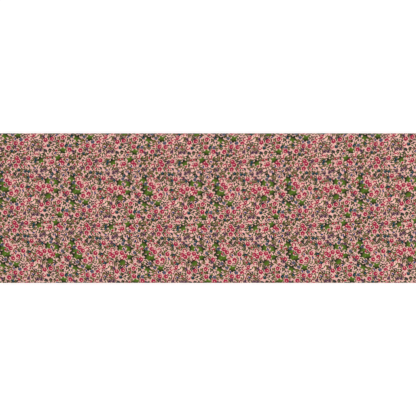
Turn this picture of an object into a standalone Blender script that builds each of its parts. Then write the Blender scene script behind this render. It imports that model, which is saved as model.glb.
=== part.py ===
"""A full-width fabric bolt: printed cotton lawn wound flat round a hollow corrugated board.

Frame: +X runs along the cloth's width, from selvage to selvage; +Y points from the front
edge to the rear edge; +Z is up. The origin is on the table under the middle of the bolt.
All sizes are in metres.

The bolt lies on its broad face. The last half turn of cloth, which a hand opens first, is
two pieces: the ply that covers the rear edge, and the free end that covers the top.
"""

import bmesh
import bpy
from mathutils import Matrix, Vector

# Cloth
CLOTH_WIDTH = 1.372  # selvage to selvage, a 54 inch cloth
WOUND_BUILD = 0.005  # thickness of all the inner turns on one side of the board
OUTER_PLY = 0.0012  # the loose last ply with the air in it
FOLD_RADIUS = 0.006  # where the turns bend round the board's long edges
CUT_EDGE_SETBACK = 0.001  # from the front face of the bolt to the cloth's cut edge

# Board
BOARD_STANDS_OUT = 0.012  # bare board past each edge of the cloth
BOARD_LENGTH = CLOTH_WIDTH + 2 * BOARD_STANDS_OUT
BOARD_DEPTH = 0.4679
BOARD_THICKNESS = 0.0254
SHEET = 0.003  # single-wall corrugated board
LONG_RIBS = 3
CROSS_RIBS = 5
SLOT_CLEARANCE = 0.0003  # on each side of a rib in its halving joint

# Tapes, caps and labels
TAPE = 0.0003
SEAM_TAPE_WIDTH = 0.040
START_TAPE_WIDTH = 0.050
START_TAPE_LENGTH = 0.180
CAP_FLANGE = 0.003
CAP_PLUG_DEPTH = 0.025
CAP_CORNER = 0.003
PULL_LIP = (0.004, 0.060, 0.003)  # standing out of the cap, along its depth, and its height
LABEL_SIZE = (0.120, 0.018)  # along the depth of the bolt, and its height
LABEL_THICKNESS = 0.0003
LABEL_TO_LIP = 0.010

GAP = 0.0003  # between two pieces that touch

# Places that follow from the sizes above
TAPE_ROOM = GAP + TAPE + GAP
RING_INNER_DEPTH = BOARD_DEPTH + 2 * GAP
RING_INNER_HEIGHT = BOARD_THICKNESS + 2 * TAPE_ROOM
RING_DEPTH = RING_INNER_DEPTH + 2 * WOUND_BUILD
RING_HEIGHT = RING_INNER_HEIGHT + 2 * WOUND_BUILD
BOLT_DEPTH = RING_DEPTH + GAP + OUTER_PLY
BOLT_HEIGHT = RING_HEIGHT + GAP + OUTER_PLY
FRONT_Y = -BOLT_DEPTH / 2
REAR_Y = BOLT_DEPTH / 2
RING_CENTRE = Vector((0, FRONT_Y + RING_DEPTH / 2, RING_HEIGHT / 2))
BOARD_BOTTOM_Z = RING_CENTRE.z - BOARD_THICKNESS / 2
BOARD_TOP_Z = RING_CENTRE.z + BOARD_THICKNESS / 2
CAVITY_DEPTH = BOARD_DEPTH - 2 * (SHEET + GAP + SHEET)
CAVITY_BOTTOM_Z = BOARD_BOTTOM_Z + SHEET
CAVITY_TOP_Z = BOARD_TOP_Z - SHEET
RIB_HEIGHT = CAVITY_TOP_Z - CAVITY_BOTTOM_Z - 2 * GAP
RIB_LENGTH = BOARD_LENGTH - 2 * (CAP_PLUG_DEPTH + GAP)
CROSS_RIB_DEPTH = CAVITY_DEPTH - 2 * GAP
HINGE_Y = REAR_Y - OUTER_PLY / 2
LOWER_HINGE_Z = GAP + OUTER_PLY / 2
UPPER_HINGE_Z = BOLT_HEIGHT - OUTER_PLY / 2

PAPER = ("kraft_board", (0.62, 0.46, 0.30), 0.9)
TAPE_PAPER = ("gummed_tape", (0.55, 0.40, 0.25), 0.7)
CLOTH = ("printed_lawn", (0.72, 0.42, 0.37), 0.95)
CAP_FOAM = ("cap_foam", (0.86, 0.85, 0.82), 0.75)
LABEL_PAPER = ("label_paper", (0.93, 0.92, 0.88), 0.8)


def clear_scene():
    for obj in list(bpy.data.objects):
        bpy.data.objects.remove(obj)


def new_collection(name):
    found = bpy.data.collections.new(name)
    bpy.context.scene.collection.children.link(found)
    return found


def material(name, colour, roughness):
    """A Principled material, made once and shared after that."""
    found = bpy.data.materials.get(name)
    if found is None:
        found = bpy.data.materials.new(name)
        found.use_nodes = True
        shader = found.node_tree.nodes["Principled BSDF"]
        shader.inputs["Base Color"].default_value = (*colour, 1)
        shader.inputs["Roughness"].default_value = roughness
        shader.inputs["Metallic"].default_value = 0
    return found


def add_object(name, bm, finish, place=(0, 0, 0)):
    """The named part made from a bmesh, with its material, at its place."""
    mesh = bpy.data.meshes.new(name)
    bm.to_mesh(mesh)
    bm.free()
    obj = bpy.data.objects.new(name, mesh)
    obj.location = place
    mesh.materials.append(material(*finish))
    BOLT.objects.link(obj)
    return obj


def box_mesh(size):
    """A box of this size about its own middle."""
    bm = bmesh.new()
    bmesh.ops.create_cube(bm, size=1, matrix=Matrix.Diagonal((*size, 1)))
    return bm


def add_box(name, size, finish, place):
    return add_object(name, box_mesh(size), finish, place)


def round_edges_along(obj, axis, radius, segments=4):
    """Rounds the edges that run along one axis, with the Bevel tool."""
    bm = bmesh.new()
    bm.from_mesh(obj.data)
    along = [e for e in bm.edges if abs((e.verts[1].co - e.verts[0].co).normalized()[axis]) > 0.99]
    bmesh.ops.bevel(
        bm, geom=along, offset=radius, segments=segments, profile=0.5, affect="EDGES", clamp_overlap=True
    )
    bm.to_mesh(obj.data)
    bm.free()


def add_cutter(name, boxes, place=(0, 0, 0)):
    """One closed mesh of separate boxes, each given as (size, centre), kept out of the render."""
    bm = bmesh.new()
    for size, centre in boxes:
        matrix = Matrix.Translation(centre) @ Matrix.Diagonal((*size, 1))
        bmesh.ops.create_cube(bm, size=1, matrix=matrix)
    mesh = bpy.data.meshes.new(name)
    bm.to_mesh(mesh)
    bm.free()
    cutter = bpy.data.objects.new(name, mesh)
    cutter.location = place
    cutter.hide_render = True
    cutter.display_type = "WIRE"
    CUTTERS.objects.link(cutter)
    return cutter


def combine(obj, cutter, operation="DIFFERENCE"):
    modifier = obj.modifiers.new(operation.title(), "BOOLEAN")
    modifier.operation = operation
    modifier.object = cutter


def add_channel(name, size, open_side, finish, place):
    """A U-shaped channel along X: a box without its ends and one broad face, given a wall inwards."""
    bm = box_mesh(size)
    gone = [f for f in bm.faces if abs(f.normal.x) > 0.5 or f.normal.z * open_side > 0.5]
    bmesh.ops.delete(bm, geom=gone, context="FACES")
    obj = add_object(name, bm, finish, place)
    wall = obj.modifiers.new("Wall", "SOLIDIFY")
    wall.thickness = SHEET
    wall.offset = -1
    wall.use_even_offset = True
    return obj


def rib_places(count, span):
    """Evenly spaced middles of ribs that share a span, with half a space at each end."""
    pitch = span / count
    return [(i - (count - 1) / 2) * pitch for i in range(count)]


def make_board():
    """The hollow board: a lid channel over a tray channel, with their long walls one inside the other."""
    middle = Vector((0, RING_CENTRE.y, RING_CENTRE.z))
    add_channel("board_lid", (BOARD_LENGTH, BOARD_DEPTH, BOARD_THICKNESS), -1, PAPER, middle)
    tray_depth = BOARD_DEPTH - 2 * (SHEET + GAP)
    tray_height = BOARD_THICKNESS - SHEET - GAP
    tray_place = (0, RING_CENTRE.y, BOARD_BOTTOM_Z + tray_height / 2)
    add_channel("board_tray", (BOARD_LENGTH, tray_depth, tray_height), 1, PAPER, tray_place)


def make_ribs():
    """The lattice that keeps the board's faces apart. Ribs cross in halving joints:
    a long rib is slotted from above, and a cross rib from below."""
    long_y = rib_places(LONG_RIBS, CAVITY_DEPTH)
    cross_x = rib_places(CROSS_RIBS, RIB_LENGTH)
    rib_z = CAVITY_BOTTOM_Z + GAP + RIB_HEIGHT / 2
    slot_width = SHEET + 2 * SLOT_CLEARANCE
    slot_height = RIB_HEIGHT + 2 * SLOT_CLEARANCE  # of the cutter, half of it in the rib
    slot_offset = RIB_HEIGHT / 2
    for i, y in enumerate(long_y):
        place = (0, RING_CENTRE.y + y, rib_z)
        rib = add_box(f"long_rib_{i + 1}", (RIB_LENGTH, SHEET, RIB_HEIGHT), PAPER, place)
        slots = [((slot_width, 3 * SHEET, slot_height), (x, 0, slot_offset)) for x in cross_x]
        combine(rib, add_cutter(f"long_rib_{i + 1}_slots", slots, place))
    for i, x in enumerate(cross_x):
        place = (x, RING_CENTRE.y, rib_z)
        rib = add_box(f"cross_rib_{i + 1}", (SHEET, CROSS_RIB_DEPTH, RIB_HEIGHT), PAPER, place)
        slots = [((3 * SHEET, slot_width, slot_height), (0, y, -slot_offset)) for y in long_y]
        combine(rib, add_cutter(f"cross_rib_{i + 1}_slots", slots, place))


def make_tapes():
    """Gummed paper: one strip over each seam under the board, and a short one on top
    that holds the cloth's inner end."""
    seam_offset = BOARD_DEPTH / 2 - SEAM_TAPE_WIDTH / 2
    seam_z = BOARD_BOTTOM_Z - GAP - TAPE / 2
    for name, side in (("front_seam_tape", -1), ("rear_seam_tape", 1)):
        place = (0, RING_CENTRE.y + side * seam_offset, seam_z)
        add_box(name, (CLOTH_WIDTH, SEAM_TAPE_WIDTH, TAPE), TAPE_PAPER, place)
    start_place = (0, RING_CENTRE.y, BOARD_TOP_Z + GAP + TAPE / 2)
    add_box("start_tape", (START_TAPE_LENGTH, START_TAPE_WIDTH, TAPE), TAPE_PAPER, start_place)


def make_caps():
    """A moulded foam cap for each end of the board: a solid plug inside it, a flange over
    its edge, and a lip to pull the cap out by. A paper label is stuck on the flange."""
    lip_reach, lip_width, lip_height = PULL_LIP
    plug_width = CAVITY_DEPTH - 2 * GAP
    plug_height = CAVITY_TOP_Z - CAVITY_BOTTOM_Z - 2 * GAP
    for name, side in (("left", -1), ("right", 1)):
        flange_x = side * (BOARD_LENGTH / 2 + GAP + CAP_FLANGE / 2)
        place = Vector((flange_x, RING_CENTRE.y, RING_CENTRE.z))
        cap = add_box(f"{name}_end_cap", (CAP_FLANGE, BOARD_DEPTH, BOARD_THICKNESS), CAP_FOAM, place)
        round_edges_along(cap, 0, CAP_CORNER)
        plug_reach = CAP_PLUG_DEPTH + CAP_FLANGE / 2  # from the middle of the flange
        plug = ((plug_reach, plug_width, plug_height), (-side * plug_reach / 2, 0, 0))
        combine(cap, add_cutter(f"{name}_plug", [plug], place), "UNION")
        lip_z = (BOARD_THICKNESS - lip_height) / 2 - CAP_CORNER
        lip_size = (lip_reach + CAP_FLANGE / 2, lip_width, lip_height)
        lip = (lip_size, (side * lip_size[0] / 2, 0, lip_z))
        combine(cap, add_cutter(f"{name}_pull_lip", [lip], place), "UNION")
        label_x = flange_x + side * (CAP_FLANGE / 2 + GAP + LABEL_THICKNESS / 2)
        label_y = RING_CENTRE.y - (lip_width + LABEL_SIZE[0]) / 2 - LABEL_TO_LIP
        label_place = (label_x, label_y, RING_CENTRE.z)
        add_box(f"{name}_end_label", (LABEL_THICKNESS, *LABEL_SIZE), LABEL_PAPER, label_place)


def make_wound_cloth():
    """All the turns up to the last half turn, as the ring that they fill round the board."""
    ring = add_box("wound_cloth", (CLOTH_WIDTH, RING_DEPTH, RING_HEIGHT), CLOTH, RING_CENTRE)
    round_edges_along(ring, 0, FOLD_RADIUS)
    core = ((CLOTH_WIDTH * 1.1, RING_INNER_DEPTH, RING_INNER_HEIGHT), (0, 0, 0))
    combine(ring, add_cutter("board_space", [core], RING_CENTRE))


def make_last_half_turn():
    """The ply over the rear edge and the free end over the top. Each has its origin on the
    line that it turns about: the lower and the upper rear fold."""
    rear_height = BOLT_HEIGHT - OUTER_PLY - GAP - LOWER_HINGE_Z
    rear = box_mesh((CLOTH_WIDTH, OUTER_PLY, rear_height))
    bmesh.ops.translate(rear, verts=rear.verts, vec=(0, 0, rear_height / 2))
    rear_ply = add_object("rear_ply", rear, CLOTH, (0, HINGE_Y, LOWER_HINGE_Z))

    free_depth = HINGE_Y - (FRONT_Y + CUT_EDGE_SETBACK)
    top = box_mesh((CLOTH_WIDTH, free_depth, OUTER_PLY))
    bmesh.ops.translate(top, verts=top.verts, vec=(0, -free_depth / 2, 0))
    free_end = add_object("free_end", top, CLOTH, (0, 0, UPPER_HINGE_Z - LOWER_HINGE_Z))
    free_end.parent = rear_ply


clear_scene()
BOLT = new_collection("fabric_bolt")
CUTTERS = new_collection("cutters")
make_board()
make_ribs()
make_tapes()
make_caps()
make_wound_cloth()
make_last_half_turn()
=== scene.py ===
"""The looks of a full-width fabric bolt: rose-and-ivy cotton lawn wound flat on a hollow board."""

import math

import bpy
import numpy as np
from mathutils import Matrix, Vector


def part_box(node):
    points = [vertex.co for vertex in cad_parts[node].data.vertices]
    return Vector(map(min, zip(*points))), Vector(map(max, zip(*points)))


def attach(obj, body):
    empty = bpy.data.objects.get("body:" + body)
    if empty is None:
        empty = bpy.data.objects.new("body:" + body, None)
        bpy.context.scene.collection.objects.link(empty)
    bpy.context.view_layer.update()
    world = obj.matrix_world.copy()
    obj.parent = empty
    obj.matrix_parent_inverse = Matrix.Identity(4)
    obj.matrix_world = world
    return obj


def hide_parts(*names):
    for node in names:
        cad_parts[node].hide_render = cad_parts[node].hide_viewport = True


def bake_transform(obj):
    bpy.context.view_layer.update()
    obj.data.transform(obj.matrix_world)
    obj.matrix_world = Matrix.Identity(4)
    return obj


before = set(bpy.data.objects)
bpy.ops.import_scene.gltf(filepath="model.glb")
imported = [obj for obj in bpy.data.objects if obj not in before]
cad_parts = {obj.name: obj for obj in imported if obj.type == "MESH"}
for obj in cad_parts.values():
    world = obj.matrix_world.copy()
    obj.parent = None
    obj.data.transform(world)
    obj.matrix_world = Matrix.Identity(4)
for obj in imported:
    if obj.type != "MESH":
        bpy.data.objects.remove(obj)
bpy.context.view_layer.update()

# ---- The hollow board --------------------------------------------------------------------
# A lid folded over a tray, both of single-wall corrugated kraft board. The flutes run the
# long way, so their wave shows at the cut ends, and the liners print through as faint ridges.


class Field:
    """A value, vector or colour that varies over a surface: one output socket of a node.
    Sums on values add Math nodes; vec and mix handle vectors and colours."""

    def __init__(self, tree, socket=None):
        self.tree, self.socket = tree, socket

    def node(self, kind, settings=None, inputs=None, output=0):
        """Adds a node: its type, its settings, then the values or links of its sockets."""
        made = self.tree.nodes.new(kind)
        for key, value in (settings or {}).items():
            if key == "interpolation":
                made.color_ramp.interpolation = value
            elif key == "stops":
                while len(made.color_ramp.elements) < len(value):
                    made.color_ramp.elements.new(0.5)
                for element, (place, colour) in zip(made.color_ramp.elements, value):
                    element.position, element.color = place, colour
            else:
                setattr(made, key, value)
        for key, value in (inputs or {}).items():
            if isinstance(value, Field):
                self.tree.links.new(value.socket, made.inputs[key])
            else:
                made.inputs[key].default_value = value
        return Field(self.tree, made.outputs[output])

    def do(self, operation, *others, clamp=False):
        values = dict(enumerate((self, *others)))
        return self.node("ShaderNodeMath", {"operation": operation, "use_clamp": clamp}, values)

    def vec(self, operation, *others):
        values = dict(enumerate((self, *others)))
        output = "Value" if operation == "LENGTH" else "Vector"
        return self.node("ShaderNodeVectorMath", {"operation": operation}, values, output)

    def scaled(self, factor):
        return self.node("ShaderNodeVectorMath", {"operation": "SCALE"}, {0: self, "Scale": factor})

    def mix(self, mask, other):
        """This colour where mask is 0, and the other colour where it is 1."""
        return self.node("ShaderNodeMix", {"data_type": "RGBA"}, {0: mask, 6: self, 7: other}, 2)

    def mix_vector(self, mask, other):
        return self.node("ShaderNodeMix", {"data_type": "VECTOR"}, {0: mask, 4: self, 5: other}, 1)

    def part(self, axis):
        return self.node("ShaderNodeSeparateXYZ", None, {0: self}, axis)

    def __add__(self, other):
        return self.do("ADD", other)

    __radd__ = __add__

    def __sub__(self, other):
        return self.do("SUBTRACT", other)

    def __rsub__(self, other):
        return self.node("ShaderNodeMath", {"operation": "SUBTRACT"}, {0: other, 1: self})

    def __mul__(self, other):
        return self.do("MULTIPLY", other)

    __rmul__ = __mul__

    def __truediv__(self, other):
        return self.do("DIVIDE", other)


def ink(red, green, blue):
    """A colour as a swatch book gives it, 0 to 255, made linear for the shader."""
    shares = (value / 255 for value in (red, green, blue))
    return (*(s / 12.92 if s <= 0.04045 else ((s + 0.055) / 1.055) ** 2.4 for s in shares), 1.0)


def begin(name):
    """A new material, and a Field to start its nodes from."""
    material = bpy.data.materials.new(name)
    material.use_nodes = True
    return material, Field(material.node_tree)


def complete(material, colour, roughness, height, relief):
    """Joins what varies over the surface to the material's shader. Height is a share of the
    relief, which is in metres."""
    shader = material.node_tree.nodes["Principled BSDF"]
    bump = colour.node("ShaderNodeBump", None, {"Strength": 1.0, "Distance": relief, "Height": height})
    for socket, value in (("Base Color", colour), ("Roughness", roughness), ("Normal", bump)):
        if isinstance(value, Field):
            material.node_tree.links.new(value.socket, shader.inputs[socket])
        else:
            shader.inputs[socket].default_value = value
    return shader


def millimetres(start):
    """The place on the piece in mm, in the bolt's own axes."""
    return start.node("ShaderNodeTexCoord", output="Object").scaled(1000)


def dress(material, *nodes):
    """Puts a material on CAD nodes whose shape is right as it is."""
    for node in nodes:
        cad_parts[node].material_slots[0].material = material


def plain_colour(start, colour):
    made = start.node("ShaderNodeRGB")
    made.socket.default_value = colour
    return made


def share(value):
    """A value held between 0 and 1."""
    return value.do("ADD", 0, clamp=True)


KRAFT, KRAFT_DARK, KRAFT_FLECK = ink(184, 143, 99), ink(158, 118, 78), ink(112, 80, 52)
SHEET_HALF = 1.5  # half the thickness of the corrugated sheet, in mm
LINER = 0.35  # mm, each of the sheet's two papers
FLUTE_PITCH = 7.0  # mm from ridge to ridge
PAPER_ROUGHNESS, PAPER_RELIEF = 0.88, 0.00025
RIDGE_SHADE = 0.22  # how much darker a flute's ridge prints through
# Painted shade: the colour of the open flute hollows seen on the cut ends.
FLUTE_HOLLOW_SHADE = ink(34, 24, 16)


def kraft_paper(spot):
    """Unbleached paper: matted fibres lying mostly one way, dark flecks, and soft clouds."""
    fibres = {"Vector": spot.vec("MULTIPLY", (0.25, 1.1, 1.1)), "Scale": 1.6, "Detail": 4.0}
    matted = spot.node("ShaderNodeTexNoise", None, fibres)
    clouds = spot.node("ShaderNodeTexNoise", None, {"Vector": spot, "Scale": 0.03, "Detail": 2.0})
    specks = spot.node("ShaderNodeTexNoise", None, {"Vector": spot, "Scale": 1.3, "Detail": 1.0})
    colour = plain_colour(spot, KRAFT).mix(share((matted - 0.42) * 3) * 0.7, KRAFT_DARK)
    colour = colour.mix(share((clouds - 0.4) * 4) * 0.3, KRAFT_DARK)
    return colour.mix(share((specks - 0.70) * 20) * 0.6, KRAFT_FLECK), matted


def corrugated(name, node, broad_side):
    """Corrugated board for a channel: ridges of the flutes on the liners, and on the cut ends
    a sine wave of paper between two liners, with the hollows on both sides of it painted dark as shade."""
    low, high = (np.array(corner) * 1000 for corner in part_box(node))
    broad_z = high[2] - SHEET_HALF if broad_side > 0 else low[2] + SHEET_HALF
    material, start = begin(name)
    spot = millimetres(start)
    y = spot.part(1) - (low[1] + high[1]) / 2
    z = spot.part(2) - broad_z
    broad = z.do("ABSOLUTE").do("LESS_THAN", SHEET_HALF + 0.1)
    across = y * broad + z * (1 - broad)
    wall = (y.do("ABSOLUTE") - ((high[1] - low[1]) / 2 - SHEET_HALF)) * (1 - broad) + z * broad
    wave = (across * (math.tau / FLUTE_PITCH)).do("SINE")
    hollow = (wall - wave * (SHEET_HALF - 2 * LINER)).do("ABSOLUTE") - LINER
    hollow = share(hollow / 0.15) * share((SHEET_HALF - LINER - wall.do("ABSOLUTE")) / 0.15)
    normal = start.node("ShaderNodeNewGeometry", output="Normal")
    cut = normal.part(0).do("ABSOLUTE").do("GREATER_THAN", 0.5)
    colour, matted = kraft_paper(spot)
    colour = colour.mix(share(wave * 0.5 + 0.5) * (1 - cut) * RIDGE_SHADE, KRAFT_DARK)
    # Painted shade: the open hollows between the liners on the cut ends are coloured near black.
    colour = colour.mix(hollow * cut, FLUTE_HOLLOW_SHADE)
    height = wave * (1 - cut) * 0.35 + matted * 0.3 - hollow * cut
    complete(material, colour, PAPER_ROUGHNESS, height, PAPER_RELIEF)
    dress(material, node)


corrugated("corrugated_lid", "board_lid", 1)
corrugated("corrugated_tray", "board_tray", -1)

# ---- The lattice of ribs -----------------------------------------------------------------
# Strips die-cut from the same corrugated board and slotted into each other on edge. Their
# flutes stand upright to carry the weight, so the ridges run up their faces.
rib_material, start = begin("corrugated_ribs")
spot = millimetres(start)
ridge = ((spot.part(0) + spot.part(1)) * (math.tau / FLUTE_PITCH)).do("SINE")
colour, matted = kraft_paper(spot)
colour = colour.mix(share(ridge * 0.5 + 0.5) * RIDGE_SHADE, KRAFT_DARK)
complete(rib_material, colour, PAPER_ROUGHNESS, ridge * 0.35 + matted * 0.3, PAPER_RELIEF)
dress(rib_material, *(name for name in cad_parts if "_rib_" in name))

# ---- The gummed tapes --------------------------------------------------------------------
# Water-activated paper tape, brushed wet over the board's seams and over the cloth's inner
# end. Yarns laid in its glue show as a net of long diamonds.
YARN_SPACING = 19.0  # mm
TAPE_BROWN, TAPE_YARN = ink(150, 104, 62), ink(206, 170, 124)
tape_material, start = begin("yarned_tape")
spot = millimetres(start)
slanted = [(spot.part(0) * 0.6 + spot.part(1) * side) / YARN_SPACING for side in (1, -1)]
yarns = [share(1 - ((place.do("FRACT") - 0.5).do("ABSOLUTE") * YARN_SPACING) / 0.5) for place in slanted]
net = yarns[0].do("MAXIMUM", yarns[1])
colour, matted = kraft_paper(spot)
colour = colour.mix(0.35, TAPE_BROWN).mix(net * 0.4, TAPE_YARN)
complete(tape_material, colour, 0.62 - net * 0.12, net * 0.6 + matted * 0.3, 0.00015)
dress(tape_material, "front_seam_tape", "rear_seam_tape", "start_tape")

# ---- The end caps ------------------------------------------------------------------------
# Moulded bead foam, one plug pushed into each end of the board. The beads meet in fine
# creases greyed as painted shade, each bead a slightly different white, and handling greys the flange's
# edges.
BEAD = 3.6  # mm from one bead's middle to the next
BEAD_WHITE, BEAD_SHADE = ink(240, 238, 230), ink(222, 220, 210)
# The crease grey is painted shade; the handled grey is wear.
CREASE_SHADE_GREY, HANDLED_GREY = ink(186, 183, 172), ink(168, 160, 146)
foam, start = begin("bead_foam")
spot = millimetres(start)
cells = {"Vector": spot, "Scale": 1 / BEAD}
crease = start.node("ShaderNodeTexVoronoi", {"feature": "DISTANCE_TO_EDGE"}, cells, "Distance")
shade = start.node("ShaderNodeTexVoronoi", None, cells, "Color").part(0)
rough = start.node("ShaderNodeTexNoise", None, {"Vector": spot, "Scale": 0.06, "Detail": 4.0})
cap_low, cap_high = (np.array(corner) * 1000 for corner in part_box("left_end_cap"))
cap_middle, cap_half = (cap_low + cap_high) / 2, (cap_high - cap_low) / 2
to_edges = [cap_half[axis] - (spot.part(axis) - cap_middle[axis]).do("ABSOLUTE") for axis in (1, 2)]
handled = share(1 - to_edges[0].do("MINIMUM", to_edges[1]) / 3) * share((rough - 0.35) * 4)
colour = plain_colour(start, BEAD_WHITE).mix(shade * 0.25, BEAD_SHADE)
# Painted shade: the creases between the beads are greyed.
colour = colour.mix(share(1 - crease / 0.07) * 0.6, CREASE_SHADE_GREY)
colour = colour.mix(handled * 0.35, HANDLED_GREY)
complete(foam, colour, 0.7, share(crease / 0.16), 0.0004)
dress(foam, "left_end_cap", "right_end_cap")

# ---- The end labels ----------------------------------------------------------------------
# A blank paper label stuck on each cap: a printed frame, a column line and three ruled lines
# to write on, on smooth uncoated paper.
label_low, label_high = (np.array(corner) * 1000 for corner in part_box("left_end_label"))
label_middle, label_half = (label_low + label_high) / 2, (label_high - label_low) / 2
FRAME_INSET, RULE_WIDTH, RULE_SPACING = 1.8, 0.35, 4.0  # mm
LABEL_WHITE, LABEL_FIBRE, LABEL_INK = ink(246, 243, 234), ink(226, 221, 208), ink(74, 84, 104)
label_paper, start = begin("ruled_label")
spot = millimetres(start)
y, z = spot.part(1) - label_middle[1], spot.part(2) - label_middle[2]
to_frame = (label_half[1] - y.do("ABSOLUTE")).do("MINIMUM", label_half[2] - z.do("ABSOLUTE")) - FRAME_INSET
inside = to_frame.do("GREATER_THAN", 0)


def rule(distance):
    """1 on a printed line where the distance to its middle is small."""
    return share((RULE_WIDTH / 2 - distance.do("ABSOLUTE")) / 0.1 + 0.5)


column = label_half[1] * 0.35
line_place = ((z / RULE_SPACING).do("FRACT") - 0.5) * RULE_SPACING
lines = rule(line_place) * inside * (y - column).do("LESS_THAN", -2)
lines = lines.do("MAXIMUM", rule(to_frame)).do("MAXIMUM", rule(y - column) * inside)
fibre = start.node("ShaderNodeTexNoise", None, {"Vector": spot, "Scale": 1.5, "Detail": 4.0})
colour = plain_colour(start, LABEL_WHITE).mix(share((fibre - 0.4) * 2) * 0.3, LABEL_FIBRE)
complete(label_paper, colour.mix(lines * 0.85, LABEL_INK), 0.75, fibre, 0.00008)
dress(label_paper, "left_end_label", "right_end_label")

# ---- The printed lawn --------------------------------------------------------------------
# Plain-woven cotton with fast-dyed inks screen printed on it: small roses, buds, ivy and
# blossoms on a salmon pink ground. The screens repeat every 230 by 207 mm. The print is
# worked out in millimetres of cloth, so it runs on round every fold.
GROUND, GROUND_LIGHT, GROUND_COOL = ink(242, 185, 176), ink(248, 206, 190), ink(238, 177, 181)
ROSE_DEEP, ROSE, ROSE_LIGHT = ink(112, 0, 28), ink(184, 0, 66), ink(218, 66, 104)
LEAF_DARK, LEAF, LEAF_BRIGHT = ink(28, 24, 2), ink(40, 68, 4), ink(80, 114, 8)
OLIVE, BROWN = ink(86, 78, 6), ink(108, 66, 20)
PLUM, PLUM_DARK = ink(100, 52, 84), ink(48, 28, 40)
TEAL_DARK, TEAL = ink(16, 42, 50), ink(52, 112, 122)
VIOLET, NAVY = ink(46, 52, 118), ink(8, 14, 42)
BUD = ink(166, 0, 48)

REPEAT = (230.4, 207.2)  # millimetres of cloth, across and along
INK_EDGE = 0.45  # millimetres over which a screen-printed edge fades

# The main motifs: the share of the places that each kind takes, and its reach in mm.
MOTIFS = {
    "rose": (0.12, 8.0),
    "open_rose": (0.065, 7.6),
    "star": (0.085, 7.8),
    "ivy": (0.07, 11.6),
    "leaf_pair": (0.15, 8.2),
    "teal_blossom": (0.12, 5.9),
    "eyed_blossom": (0.05, 5.6),
    "bell": (0.07, 7.6),
    "navy_leaf": (0.06, 5.4),
    "bud": (0.12, 5.0),
    "long_bud": (0.05, 6.6),
    "berry": (0.04, 3.4),
}
MOST_REACH = 16.0  # mm, which a reach is given as a share of inside the shader
MOTIF_LATTICE, MOTIF_WANDER, MOTIF_SEED = (13, 14), 0.7, 3.0
LEAFLET_LATTICE, LEAFLET_WANDER, LEAFLET_SEED = (29, 30), 0.8, 11.0
SPRAY_LATTICE, SPRAY_WANDER, SPRAY_SEED = (16, 16), 0.7, 5.0
BARE_PLACES = 0.2  # share of the leaflets' places that stay empty
LEAFY_PLACES = 0.78  # share of the sprays' places with leaves; the rest hold a dot or a scrap
# How far in mm the ground is left clear past a motif's reach, or short of it.
CLEAR_ROSE, CLEAR_IVY, CLEAR_BUD, CLEAR_OTHER = 0.6, -0.6, -1.6, -3.0


def nearest(cloth, lattice, wander, seed, reaches=None):
    """The sprig that a spot lies nearest to or, with reaches, the motif that it lies deepest
    in. They stand on a lattice laid like bricks, each moved off its place at random by up to
    half the wander, as a share of the cell. Two columns in each of three rows are looked at.
    Gives the spot's place from the middle, in mm and turned at random, three random numbers
    of the place that don't depend on the turn, and the depth in mm inside the reach."""
    columns, rows = lattice
    cell_x, cell_y = REPEAT[0] / columns, REPEAT[1] / rows
    cloth = cloth.vec("ADD", (seed * 1.7, seed * 2.3, 0))
    across, along = cloth.part(0) / cell_x, cloth.part(1) / cell_y
    offset = luck = depth = None
    for step in (0, -1, 1):
        row = along.do("ROUND") + step
        brick = row.do("FLOORED_MODULO", 2) * 0.5
        nearer = (across - brick).do("ROUND")
        farther = (across - brick).do("FLOOR") * 2 + 1 - nearer
        for column in (nearer, farther):
            wrapped = (column.do("FLOORED_MODULO", columns), row.do("FLOORED_MODULO", rows), seed)
            there = cloth.node("ShaderNodeCombineXYZ", None, dict(enumerate(wrapped)))
            drawn = random_numbers(there)
            moved = drawn.vec("SUBTRACT", (0.5, 0.5, 0.5))
            moved = moved.vec("MULTIPLY", (wander * cell_x, wander * cell_y, 0))
            middle = {0: (column + brick) * cell_x, 1: row * cell_y}
            middle = cloth.node("ShaderNodeCombineXYZ", None, middle)
            away = cloth.vec("SUBTRACT", middle).vec("SUBTRACT", moved)
            inside = 0 - away.vec("LENGTH")
            if reaches:
                ramp = {"stops": reaches, "interpolation": "CONSTANT"}
                reach = cloth.node("ShaderNodeValToRGB", ramp, {"Fac": drawn.part(2)}).part(0)
                inside = inside + reach * MOST_REACH
            if offset is None:
                offset, luck, depth = away, drawn, inside
            else:
                closer = inside.do("GREATER_THAN", depth)
                offset, luck = offset.mix_vector(closer, away), luck.mix_vector(closer, drawn)
                depth = depth.do("MAXIMUM", inside)
    turn = random_numbers(luck.vec("ADD", (seed, seed, seed))).part(0) * math.tau
    # The drawn numbers also move the sprig, so a sprig's own numbers are drawn afresh.
    if reaches is None:
        luck = random_numbers(luck.scaled(7.0))
    return turned(offset, turn), luck, depth


def random_numbers(place):
    """Three numbers from 0 to 1 that depend on the place alone."""
    return place.node("ShaderNodeTexWhiteNoise", {"noise_dimensions": "3D"}, {"Vector": place}, "Color")


def turned(offset, turn):
    """The offset turned about the cloth's normal by an angle in radians."""
    about_z = {"rotation_type": "Z_AXIS"}
    return offset.node("ShaderNodeVectorRotate", about_z, {"Vector": offset, "Angle": turn})


def edge(depth):
    """1 where depth in mm is inside a shape, 0 outside it, with an inked edge between."""
    return (depth / INK_EDGE).do("ADD", 0.5, clamp=True)


def petal(spot, middle, reach, turn=0.0):
    """How deep in mm a spot lies inside an oval of these half lengths."""
    inputs = {"Vector": spot, "Location": (*middle, 0), "Rotation": (0, 0, turn), "Scale": (*reach, 1)}
    inside = 1 - spot.node("ShaderNodeMapping", {"vector_type": "TEXTURE"}, inputs).vec("LENGTH")
    return inside * min(reach)


def either(*depths):
    """The depth inside several shapes taken as one."""
    deepest = depths[0]
    for depth in depths[1:]:
        deepest = deepest.do("MAXIMUM", depth)
    return deepest


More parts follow.
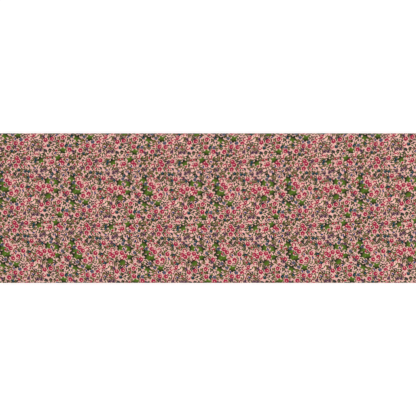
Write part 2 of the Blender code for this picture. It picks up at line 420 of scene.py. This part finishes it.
def printed_ground(cloth, plain):
    """Salmon pink with soft warm and cool clouds, thin vines and sprigs of small leaves."""
    soft = {"Vector": cloth, "Scale": 0.09, "Detail": 1.0}
    cloudy = cloth.node("ShaderNodeTexNoise", {"noise_dimensions": "2D"}, soft, "Color")
    colour = plain.mix(share((cloudy.part(0) - 0.45) * 5) * 0.6, GROUND_LIGHT)
    colour = colour.mix(share((cloudy.part(1) - 0.52) * 5) * 0.6, GROUND_COOL)

    # Vines are thin level lines, ten to a height, of a noise that closes round the repeat.
    turns = cloth.vec("MULTIPLY", (math.tau / REPEAT[0], math.tau / REPEAT[1], 0))
    round_x, round_y = turns.part(0), turns.part(1)
    ring = {0: round_x.do("COSINE"), 1: round_x.do("SINE"), 2: round_y.do("COSINE")}
    ring = cloth.node("ShaderNodeCombineXYZ", None, ring)
    torus = {"Vector": ring, "W": round_y.do("SINE"), "Scale": 3.4, "Detail": 0.0}
    level = (cloth.node("ShaderNodeTexNoise", {"noise_dimensions": "4D"}, torus) * 10).do("FRACT")
    colour = colour.mix(share(1.1 - (level - 0.5).do("ABSOLUTE") * 8) * 0.9, OLIVE)

    # Small leaflets, then pairs of leaves on a stem with a dot or a scrap of blue among them.
    sprig, luck, _ = nearest(cloth, LEAFLET_LATTICE, LEAFLET_WANDER, LEAFLET_SEED)
    tone = plain.mix(1.0, LEAF_DARK).mix(luck.part(1).do("GREATER_THAN", 0.22), OLIVE)
    tone = tone.mix(luck.part(1).do("GREATER_THAN", 0.7), BROWN)
    tone = tone.mix(luck.part(1).do("GREATER_THAN", 0.82), LEAF)
    leaflet = edge(petal(sprig, (0, 0), (4.1, 1.7))) * luck.part(2).do("GREATER_THAN", BARE_PLACES)
    colour = colour.mix(leaflet, tone)
    spray, luck, _ = nearest(cloth, SPRAY_LATTICE, SPRAY_WANDER, SPRAY_SEED)
    x, y = spray.part(0), spray.part(1)
    mirror = cloth.node("ShaderNodeCombineXYZ", None, {0: x.do("ABSOLUTE"), 1: y})
    pair = either(petal(mirror, (3.0, 2.3), (4.1, 2.0), 0.8), petal(mirror, (2.6, -3.3), (3.6, 1.9), 0.6))
    stem = 0.6 - x.do("ABSOLUTE") - ((y.do("ABSOLUTE") - 6.0) * 2).do("MAXIMUM", 0)
    tone = plain.mix(1.0, LEAF_DARK).mix(edge(x * 0.3), LEAF).mix(luck.part(1).do("GREATER_THAN", 0.5), OLIVE)
    leafy = luck.part(2).do("LESS_THAN", LEAFY_PLACES)
    colour = colour.mix(leafy * edge(stem), BROWN).mix(leafy * edge(pair), tone)
    scrap = plain.mix(1.0, LEAF_DARK).mix(luck.part(1).do("GREATER_THAN", 0.4), TEAL_DARK)
    scrap = scrap.mix(luck.part(1).do("GREATER_THAN", 0.75), BUD)
    return colour.mix((1 - leafy) * edge(petal(spray, (0, 0), (2.9, 2.2))), scrap)


def printed(cloth):
    """The printed colour at a place on the cloth, given in mm across and along it. Each motif
    is drawn in mm from its own middle, and stands turned at random."""
    plain = plain_colour(cloth, GROUND)
    reaches, before = [], 0.0
    for width, reach in MOTIFS.values():
        reaches.append((before, (reach / MOST_REACH, 0, 0, 1)))
        before += width
    spot, luck, depth = nearest(cloth, MOTIF_LATTICE, MOTIF_WANDER, MOTIF_SEED, reaches)
    x, y = spot.part(0), spot.part(1)
    radius = spot.vec("LENGTH")
    angle = y.do("ARCTAN2", x)
    here, before = {}, 0.0
    for name, (width, _) in MOTIFS.items():
        here[name] = luck.part(2).do("COMPARE", before + width / 2, width / 2)
        before += width

    # Bare ground shows round the roses, and less of it round the smaller motifs.
    colour = printed_ground(cloth, plain)
    clearance = (here["rose"] + here["open_rose"]) * (CLEAR_ROSE - CLEAR_OTHER)
    clearance = clearance + here["ivy"] * (CLEAR_IVY - CLEAR_OTHER)
    clearance = clearance + (here["berry"] + here["bud"]) * (CLEAR_BUD - CLEAR_OTHER) + CLEAR_OTHER
    colour = colour.mix(edge(depth + clearance), plain.mix(0.5, GROUND_LIGHT))

    # Roses: scalloped heads with petals rolled in a spiral.
    head = 7.2 + (angle * 5).do("COSINE") * 0.5 - radius
    rolled = (angle / math.tau + radius / 4.2).do("FRACT")
    rose = plain.mix(1.0, ROSE).mix(edge((rolled - 0.6) * 2.2), ROSE_DEEP)
    rose = rose.mix(edge((0.10 - (rolled - 0.42).do("ABSOLUTE")) * 2.4), ROSE_LIGHT)
    rose = rose.mix(edge(petal(spot, (1.6, -1.0), (1.9, 1.1))), GROUND_LIGHT)
    colour = colour.mix(here["rose"] * edge(head), rose)

    # Open roses: one rolled petal drawn as a thick line, open on one side, round a pale heart.
    line = 1.9 - (radius - 5.2).do("ABSOLUTE") - (0.8 - angle.do("ABSOLUTE")).do("MAXIMUM", 0) * 5
    opened = plain.mix(1.0, ROSE).mix(share(y / 7 + 0.5), ROSE_DEEP)
    colour = colour.mix(here["open_rose"] * edge(3.4 - radius), GROUND_LIGHT)
    colour = colour.mix(here["open_rose"] * edge(line), opened)
    colour = colour.mix(here["open_rose"] * edge(petal(spot, (0.8, 0.3), (1.5, 1.2))), BROWN)

    # Ivy: five leaves round a joint, bright towards one side, and pairs of longer leaves.
    fifth = (angle / (math.tau / 5)).do("ROUND") * (math.tau / 5)
    ivy = either(petal(turned(spot, 0 - fifth), (6.5, 0), (5.2, 4.2)), 1.8 - radius)
    green = plain.mix(1.0, LEAF_DARK).mix(share((x + y) / 15 + 0.5), LEAF_BRIGHT)
    colour = colour.mix(here["ivy"] * edge(ivy), green)
    colour = colour.mix(here["ivy"] * edge(1.7 - radius), OLIVE)
    mirror = cloth.node("ShaderNodeCombineXYZ", None, {0: x.do("ABSOLUTE"), 1: y})
    leaves = petal(mirror, (4.3, 1.0), (4.2, 2.2), 0.35)
    green = plain.mix(1.0, LEAF_DARK).mix(share(x / 8 + 0.2), LEAF_BRIGHT)
    colour = colour.mix(here["leaf_pair"] * edge(leaves), green)

    # Stars: five plum petals over dark leaf tips.
    tips = 7.6 * (angle * 1.5 + 0.4).do("COSINE").do("ABSOLUTE").do("POWER", 2.0) - radius
    star = 2.8 + (angle * 2.5).do("COSINE").do("ABSOLUTE") * 3.4 - radius
    colour = colour.mix(here["star"] * edge(tips), LEAF)
    plum = plain.mix(1.0, PLUM).mix(edge(2.0 - radius), PLUM_DARK)
    colour = colour.mix(here["star"] * edge(star), plum)

    # Teal blossoms, blue ones with a brown eye, and navy leaves.
    cup = 5.0 + (angle * 4).do("COSINE") * 0.8 - radius
    teal = plain.mix(1.0, TEAL_DARK).mix(edge(petal(spot, (1.2, 1.6), (2.2, 1.4), 0.5)), TEAL)
    colour = colour.mix(here["teal_blossom"] * edge(cup), teal)
    eyed = 4.0 + (angle * 3).do("COSINE").do("ABSOLUTE") * 1.6 - radius
    blue = plain.mix(1.0, TEAL).mix((angle * 2).do("SINE").do("GREATER_THAN", 0), VIOLET)
    colour = colour.mix(here["eyed_blossom"] * edge(eyed), blue.mix(edge(2.3 - radius), BROWN))
    blue = plain.mix(1.0, NAVY).mix(edge(0 - x), TEAL_DARK)
    colour = colour.mix(here["navy_leaf"] * edge(petal(spot, (0, 0), (5.4, 2.5))), blue)

    # Bells: a violet bell with a navy lip, under a bent brown leaf.
    bow = 1.3 - (radius - 6.6).do("ABSOLUTE") - (angle.do("ABSOLUTE") - 1.4).do("MAXIMUM", 0) * 4
    bell = plain.mix(1.0, VIOLET).mix(edge(x * 0.8), NAVY)
    colour = colour.mix(here["bell"] * edge(bow), BROWN)
    colour = colour.mix(here["bell"] * edge(petal(spot, (-1.2, 0), (4.4, 2.7), 0.4)), bell)

    # Buds with a green cap, long buds with a pink tail, and navy berries.
    cap = petal(spot, (-4.0, 0.4), (2.2, 1.7), 0.3)
    colour = colour.mix(here["bud"] * edge(cap), LEAF_DARK)
    colour = colour.mix(here["bud"] * edge(petal(spot, (0.9, 0), (3.6, 3.0))), BUD)
    tail = petal(spot, (-1.6, 0.5), (5.6, 1.4), 0.1)
    colour = colour.mix(here["long_bud"] * edge(tail), ROSE_LIGHT)
    colour = colour.mix(here["long_bud"] * edge(petal(spot, (2.8, 0), (3.6, 2.2))), BUD)
    return colour.mix(here["berry"] * edge(2.7 - radius), NAVY)


CLOTH_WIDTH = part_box("free_end")[1][0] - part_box("free_end")[0][0]
PIN_HOLE = 0.5  # mm, its radius
SELVAGE = 18.0  # mm left unprinted at each side of the cloth
PIN_ROW, PIN_SPACING = 5.0, 4.0  # mm: the holes of the pins that held the cloth to dry
DOT_ROW, DOT_SPACING, DOT_RADIUS = 12.0, 9.0, 2.2  # mm: one printed dot for each ink
DOT_INKS = (ROSE, ROSE_DEEP, LEAF_BRIGHT, LEAF, TEAL, VIOLET, NAVY, BROWN)
WRONG_SIDE_FADE = 0.17  # how much of the ink doesn't strike through to the back
BARE_COTTON = ink(238, 226, 212)
THREAD = 0.7  # mm from thread to thread, drawn coarser than lawn's so that it shows
LAWN_ROUGHNESS, LAWN_RELIEF = 0.85, 0.00005
LAWN_SHEEN, SHEEN_ROUGHNESS, LAWN_GLOSS = 0.15, 0.6, 0.2


def selvage(colour, straight):
    """The bare edge of the cloth: pin holes in a row, and once in each repeat a row of dots
    that shows every ink of the print."""
    to_side = CLOTH_WIDTH / 2 * 1000 - straight.part(0).do("ABSOLUTE")
    along = straight.part(1)
    colour = colour.mix(edge(SELVAGE - to_side), BARE_COTTON)
    pin = ((along / PIN_SPACING).do("FRACT") - 0.5) * PIN_SPACING
    pin = straight.node("ShaderNodeCombineXYZ", None, {0: to_side - PIN_ROW, 1: pin}).vec("LENGTH")
    # Painted shade: each pin hole is a brown dot, standing in for the shade in the hole.
    colour = colour.mix(edge(PIN_HOLE - pin) * 0.6, BROWN)
    in_repeat = (along / REPEAT[1]).do("FRACT") * REPEAT[1] / DOT_SPACING
    dot = (in_repeat.do("FRACT") - 0.5) * DOT_SPACING
    dot = straight.node("ShaderNodeCombineXYZ", None, {0: to_side - DOT_ROW, 1: dot}).vec("LENGTH")
    stops = [(i / len(DOT_INKS), dye) for i, dye in enumerate(DOT_INKS)]
    ramp = {"stops": stops, "interpolation": "CONSTANT"}
    dyes = straight.node("ShaderNodeValToRGB", ramp, {"Fac": in_repeat.do("FLOOR") / len(DOT_INKS) + 0.01})
    return colour.mix(edge(DOT_RADIUS - dot) * in_repeat.do("LESS_THAN", len(DOT_INKS)), dyes)


def cotton(name, fade):
    """Printed cotton: the print faded by a share, a bare selvage, and a plain weave of
    uneven yarns."""
    material, start = begin(name)
    cloth = start.node("ShaderNodeUVMap", {"uv_map": "cloth"}).scaled(1000)
    straight = start.node("ShaderNodeUVMap", {"uv_map": "grain"}).scaled(1000)
    colour = selvage(printed(cloth).mix(fade, BARE_COTTON), straight)
    yarn = 0
    for run in ((0.05, 1.4, 0), (1.4, 0.05, 0)):
        slubs = {"Vector": straight.vec("MULTIPLY", run), "Scale": 1.0, "Detail": 2.0}
        yarn = start.node("ShaderNodeTexNoise", {"noise_dimensions": "2D"}, slubs) + yarn
    threads = straight.scaled(math.pi / THREAD)
    check = threads.part(0).do("SINE") * threads.part(1).do("SINE")
    shade = share(1.0 + (yarn - 1.0) * 0.35)
    grey = start.node("ShaderNodeCombineXYZ", None, {0: shade, 1: shade, 2: shade})
    weave = yarn * 0.5 + check * 0.25
    shader = complete(material, colour.vec("MULTIPLY", grey), LAWN_ROUGHNESS, weave, LAWN_RELIEF)
    shader.inputs["Sheen Weight"].default_value = LAWN_SHEEN
    shader.inputs["Sheen Roughness"].default_value = SHEEN_ROUGHNESS
    shader.inputs["Specular IOR Level"].default_value = LAWN_GLOSS
    return material


right_side = cotton("printed_lawn_face", 0.0)
wrong_side = cotton("printed_lawn_back", WRONG_SIDE_FADE)

# ---- The wound turns ---------------------------------------------------------------------
# One length of the lawn, wound by machine on the board under light tension. The turns lie
# flat on each other and bend round the board's long edges.
TURNS = 9  # whole turns from the inner end to where the last half turn begins
CLOTH_THICKNESS = 0.00030
ring_low, ring_high = (np.array(corner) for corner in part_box("wound_cloth"))
board_low, board_high = (np.array(corner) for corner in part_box("board_lid"))
ply_low, ply_high = (np.array(corner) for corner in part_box("rear_ply"))
end_low, end_high = (np.array(corner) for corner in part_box("free_end"))
TAKE_OVER = 0.020  # from the rear ply to the line under the bolt where its sheet begins
INNER_RADIUS = 0.0015  # of the innermost turn at the board's long edges
PRINT_BOW = 0.033  # metres that a row of print would bow by at 1 m from the middle
COLUMN_SWAY = 0.0157  # metres, half of the way that a column of print wanders aside
SWAY_LENGTH = 1.0  # metres of cloth from one sway to the next
CORNER_STEPS, FLAT_STEPS, EDGE_STEPS = 7, 12, 5  # points in a turn's corners, flats and edges
WOUND_COLUMNS, REAR_COLUMNS, TOP_COLUMNS = 24, 172, 229  # points across each sheet


def outline(half_depth, half_height, centre):
    """A rounded rectangle in the YZ plane, from the middle of its top, forwards and down.
    Gives the points of a rectangle of corner centres and the outward direction at each, so
    that centres + direction * radius is the outline at any radius."""
    corners = [(-1, 1), (-1, -1), (1, -1), (1, 1)]
    points, angles = [], []
    last, normal = (0.0, 1.0), np.pi / 2
    for corner in corners:
        steps = FLAT_STEPS if corner[0] != last[0] else EDGE_STEPS
        flat = np.linspace(last, corner, steps)[:-1]
        points += [flat, np.tile(corner, (CORNER_STEPS, 1)).astype(float)]
        angles += [np.full(len(flat), normal), np.linspace(normal, normal + np.pi / 2, CORNER_STEPS)]
        last, normal = corner, normal + np.pi / 2
    flat = np.linspace(last, (0.0, 1.0), FLAT_STEPS)[:-1]
    points, angles = np.concatenate([*points, flat]), np.concatenate([*angles, np.full(len(flat), normal)])
    centres = points * (half_depth, half_height) + centre
    return centres, np.stack([np.cos(angles), np.sin(angles)], 1)


def sheet_mesh(name, path, along, columns, lift=None):
    """Cloth as a grid: a path in the YZ plane carried across the width. Its grain map holds
    metres across and along the cloth, and its cloth map the print's bowed rows and columns."""
    across = np.linspace(-CLOTH_WIDTH / 2, CLOTH_WIDTH / 2, columns)
    grid_x, grid_s = np.meshgrid(across, along)
    points = np.empty((len(path), columns, 3))
    points[..., 0] = grid_x
    points[..., 1:] = path[:, None, :]
    if lift is not None:
        points = points + lift(grid_x, grid_s)
    count = np.arange(len(path) * columns).reshape(len(path), columns)
    faces = np.stack([count[:-1, :-1], count[1:, :-1], count[1:, 1:], count[:-1, 1:]], -1).reshape(-1, 4)
    mesh = bpy.data.meshes.new(name)
    mesh.from_pydata(points.reshape(-1, 3).tolist(), [], faces.tolist())
    order = faces.reshape(-1)
    sway = COLUMN_SWAY * (1 - np.cos(2 * np.pi * grid_s / SWAY_LENGTH))
    maps = {"cloth": (grid_x - sway, grid_s - PRINT_BOW * grid_x**2), "grain": (grid_x, grid_s)}
    for map_name, (u, v) in maps.items():
        corners = np.stack([u.reshape(-1)[order], v.reshape(-1)[order]], -1)
        mesh.uv_layers.new(name=map_name).data.foreach_set("uv", corners.reshape(-1))
    mesh.polygons.foreach_set("use_smooth", np.ones(len(faces), bool))
    piece = bpy.data.objects.new(name, mesh)
    bpy.context.scene.collection.objects.link(piece)
    mesh.materials.append(right_side)
    mesh.materials.append(wrong_side)
    wall = piece.modifiers.new("Thickness", "SOLIDIFY")
    wall.thickness, wall.offset, wall.material_offset = CLOTH_THICKNESS, 0, 1
    return piece


def lengths_along(path):
    """Distance along a path at each of its points."""
    steps = np.linalg.norm(np.diff(path, axis=0), axis=1)
    return np.concatenate([[0], np.cumsum(steps)])


ring_centre = (ring_low + ring_high)[1:] / 2
ring_half = (ring_high - ring_low)[1:] / 2
board_half = (board_high - board_low)[1:] / 2
START_BUILD = 0.0012  # clear of the start tape and the seam tapes
corner_half = board_half - INNER_RADIUS
centres, outward = outline(corner_half[0], corner_half[1], ring_centre)
loops = TURNS + 1
centres, outward = np.tile(centres, (loops, 1)), np.tile(outward, (loops, 1))
progress = np.arange(len(centres)) / (len(centres) - 1)
last_build = ring_half[1] - board_half[1] - CLOTH_THICKNESS / 2
build = START_BUILD + (last_build - START_BUILD) * np.clip(progress * loops / (TURNS + 0.5), 0, 1)
spiral = centres + outward * (INNER_RADIUS + build)[:, None]
# The turns end under the bolt, short of the rear fold, where the last half turn takes over.
TAKE_OVER_Y = ply_low[1] - TAKE_OVER
on_last_turn = np.arange(len(spiral)) >= TURNS * len(spiral) // loops
under = on_last_turn & (outward[:, 1] < -0.99) & (spiral[:, 0] > TAKE_OVER_Y)
spiral = np.concatenate([spiral[: np.argmax(under)], [[TAKE_OVER_Y, CLOTH_THICKNESS / 2]]])
spiral_lengths = lengths_along(spiral)
wound_length = spiral_lengths[-1]

# ---- The last half turn ------------------------------------------------------------------
# The same cloth, running on from under the bolt, up over the rear edge and forwards over the
# top to its cut end. It is one sheet in two pieces that meet half way up the rear edge.
ply_y = (ply_low[1] + ply_high[1]) / 2
top_z = (end_low[2] + end_high[2]) / 2
under_z = CLOTH_THICKNESS / 2
FOLD = 0.0075  # radius of the soft fold at each rear corner
CUT_Y = end_low[1]
FOLD_STEPS, UNDER_STEPS, TOP_STEPS = 13, 5, 81  # points round a fold, under the bolt, over the top
quarter = np.linspace(0, np.pi / 2, FOLD_STEPS)
low_fold = np.stack([ply_y - FOLD + FOLD * np.sin(quarter), under_z + FOLD - FOLD * np.cos(quarter)], 1)
high_fold = np.stack([ply_y - FOLD + FOLD * np.cos(quarter), top_z - FOLD + FOLD * np.sin(quarter)], 1)
half_way = np.array([[ply_y, (under_z + top_z) / 2]])
under_bolt = np.linspace((TAKE_OVER_Y, under_z), low_fold[0], UNDER_STEPS)[:-1]
below = np.concatenate([under_bolt, low_fold, half_way])
forward = np.linspace(high_fold[-1], (CUT_Y, top_z), TOP_STEPS)[1:]
above = np.concatenate([half_way, high_fold, forward])
below_lengths = lengths_along(below)
above_lengths = lengths_along(above)
# Distances are counted from the middle of the top face, backwards along the cloth.
middle_of_top = above_lengths[-1] - (forward[0, 0] - CUT_Y) / 2
top_begins = middle_of_top - above_lengths[len(half_way) + len(high_fold)]
above_grain = middle_of_top - above_lengths
below_grain = middle_of_top + below_lengths[-1] - below_lengths
spiral_grain = below_grain[0] + wound_length - spiral_lengths


def slack(across, along):
    """Gentle waves in the loose top ply: two crossed sines of a few tenths of a millimetre,
    which fade out at the rear fold, and a cut edge that strays by half a millimetre."""
    waves = np.sin(across * 9.0 + along * 13.0) + np.sin(across * 17.0 - along * 21.0 + 1.0)
    on_top = np.clip((top_begins - along) / 0.05, 0, 1)
    near_cut = np.clip((-along - 0.2) / 0.04, 0, 1)
    strays = 0.0004 * np.sin(across * 31.0) + 0.0003 * np.sin(across * 83.0 + 2.0)
    return np.stack([np.zeros_like(across), strays * near_cut, 0.00012 * waves * on_top], -1)


wound = sheet_mesh("wound_turns", spiral, spiral_grain, WOUND_COLUMNS)
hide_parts("wound_cloth")
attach(wound, "bolt")

rear = sheet_mesh("rear_turn", below, below_grain, REAR_COLUMNS)
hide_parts("rear_ply")
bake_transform(rear)

top = sheet_mesh("top_turn", above, above_grain, TOP_COLUMNS, slack)
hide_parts("free_end")
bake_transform(top)

# ---- The frayed cut end ------------------------------------------------------------------
# Lengthwise yarns of the lawn, left standing out where the shears cut across it, each curling
# a little its own way.
YARNS, YARN_RADIUS = 700, 0.00013
YARN_COLOUR, YARN_DYED = ink(236, 196, 184), ink(186, 124, 112)
YARN_SIDES, YARN_RINGS = 4, 5
chance = np.random.default_rng(7)
yarn_x = (np.arange(YARNS) + chance.uniform(-0.4, 0.4, YARNS)) / YARNS - 0.5
yarn_x = (yarn_x * (CLOTH_WIDTH - 0.002))[:, None]
reach = (0.0004 + 0.0022 * chance.uniform(0, 1, YARNS) ** 2)[:, None]
curl = chance.normal(0, 0.35, (YARNS, 2))
# Each yarn is a tube about a parabola that bends sideways and down as it leaves the cloth.
out = np.linspace(0, 1, YARN_RINGS)[None, :]
centre_line = np.stack(
    [
        yarn_x + curl[:, :1] * reach * out**2,
        CUT_Y + 0.0005 - reach * out,
        top_z - np.abs(curl[:, 1:]) * 0.5 * reach * out**2,
    ],
    -1,
)
turn_round = np.arange(YARN_SIDES) * math.tau / YARN_SIDES
ring = np.stack([np.cos(turn_round), np.zeros(YARN_SIDES), np.sin(turn_round)], -1) * YARN_RADIUS
tubes = centre_line[:, :, None, :] + ring * (1 - 0.5 * out)[..., None, None]
index = np.arange(YARNS * YARN_RINGS * YARN_SIDES).reshape(YARNS, YARN_RINGS, YARN_SIDES)
beside = np.roll(index, -1, axis=2)
sides = np.stack([index[:, :-1], beside[:, :-1], beside[:, 1:], index[:, 1:]], -1).reshape(-1, 4)
ends = np.concatenate([index[:, 0, ::-1], index[:, -1]])
fray_mesh = bpy.data.meshes.new("frayed_yarns")
fray_mesh.from_pydata(tubes.reshape(-1, 3).tolist(), [], sides.tolist() + ends.tolist())
fray = bpy.data.objects.new("frayed_yarns", fray_mesh)
bpy.context.scene.collection.objects.link(fray)
yarn_material, start = begin("cut_yarn")
spot = millimetres(start)
dye = start.node("ShaderNodeTexNoise", None, {"Vector": spot.vec("MULTIPLY", (1, 0, 0)), "Scale": 0.8})
twist = ((spot.part(0) + spot.part(1)) * 14).do("SINE")
colour = plain_colour(start, YARN_COLOUR).mix(share((dye - 0.5) * 6), YARN_DYED)
complete(yarn_material, colour, 0.9, twist, 0.00003)
fray_mesh.materials.append(yarn_material)
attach(fray, "free_end")

# ---- The table, the light and the camera -------------------------------------------------
# A pale table seen from straight above, in broad soft light from a little to the right.
VIEW_WIDTH = 1.331  # metres of cloth across the view
LENS, SENSOR = 100.0, 36.0
camera_data = bpy.data.cameras.new("overhead")
camera_data.lens, camera_data.sensor_width = LENS, SENSOR
camera_data.clip_end = 50
camera = bpy.data.objects.new("overhead", camera_data)
camera.location = (0, 0, top_z + VIEW_WIDTH * LENS / SENSOR)
bpy.context.scene.collection.objects.link(camera)
bpy.context.scene.camera = camera

TABLE_HALF, TABLE_Z = 7.0, -0.0005
TABLE_GREY, TABLE_GLOW, STUDIO_GLOW = (0.38, 0.38, 0.38, 1), 0.72, 0.8
corners = [(-1, -1), (1, -1), (1, 1), (-1, 1)]
table_mesh = bpy.data.meshes.new("table")
table_mesh.from_pydata([(x * TABLE_HALF, y * TABLE_HALF, TABLE_Z) for x, y in corners], [], [(0, 1, 2, 3)])
table = bpy.data.objects.new("table", table_mesh)
bpy.context.scene.collection.objects.link(table)
pale = bpy.data.materials.new("pale_table")
pale.use_nodes = True
table_shader = pale.node_tree.nodes["Principled BSDF"]
table_shader.inputs["Base Color"].default_value = TABLE_GREY
table_shader.inputs["Roughness"].default_value = 0.9
table_shader.inputs["Specular IOR Level"].default_value = 0.0
table_shader.inputs["Emission Color"].default_value = (1, 1, 1, 1)
table_shader.inputs["Emission Strength"].default_value = TABLE_GLOW
table_mesh.materials.append(pale)

world = bpy.data.worlds.new("studio")
bpy.context.scene.world = world
world.use_nodes = True
world.node_tree.nodes["Background"].inputs["Color"].default_value = (1, 1, 1, 1)
world.node_tree.nodes["Background"].inputs["Strength"].default_value = STUDIO_GLOW

SOFTBOX_WATTS, SOFTBOX_SIZE = 34.0, 2.4
softbox = bpy.data.lights.new("overhead_softbox", "AREA")
softbox.energy, softbox.size = SOFTBOX_WATTS, SOFTBOX_SIZE
lamp = bpy.data.objects.new("overhead_softbox", softbox)
lamp.location = (1.2, -0.4, 3.8)
lamp.rotation_euler = (-lamp.location).to_track_quat("-Z", "Y").to_euler()
bpy.context.scene.collection.objects.link(lamp)
bpy.context.scene.view_settings.view_transform = "Standard"
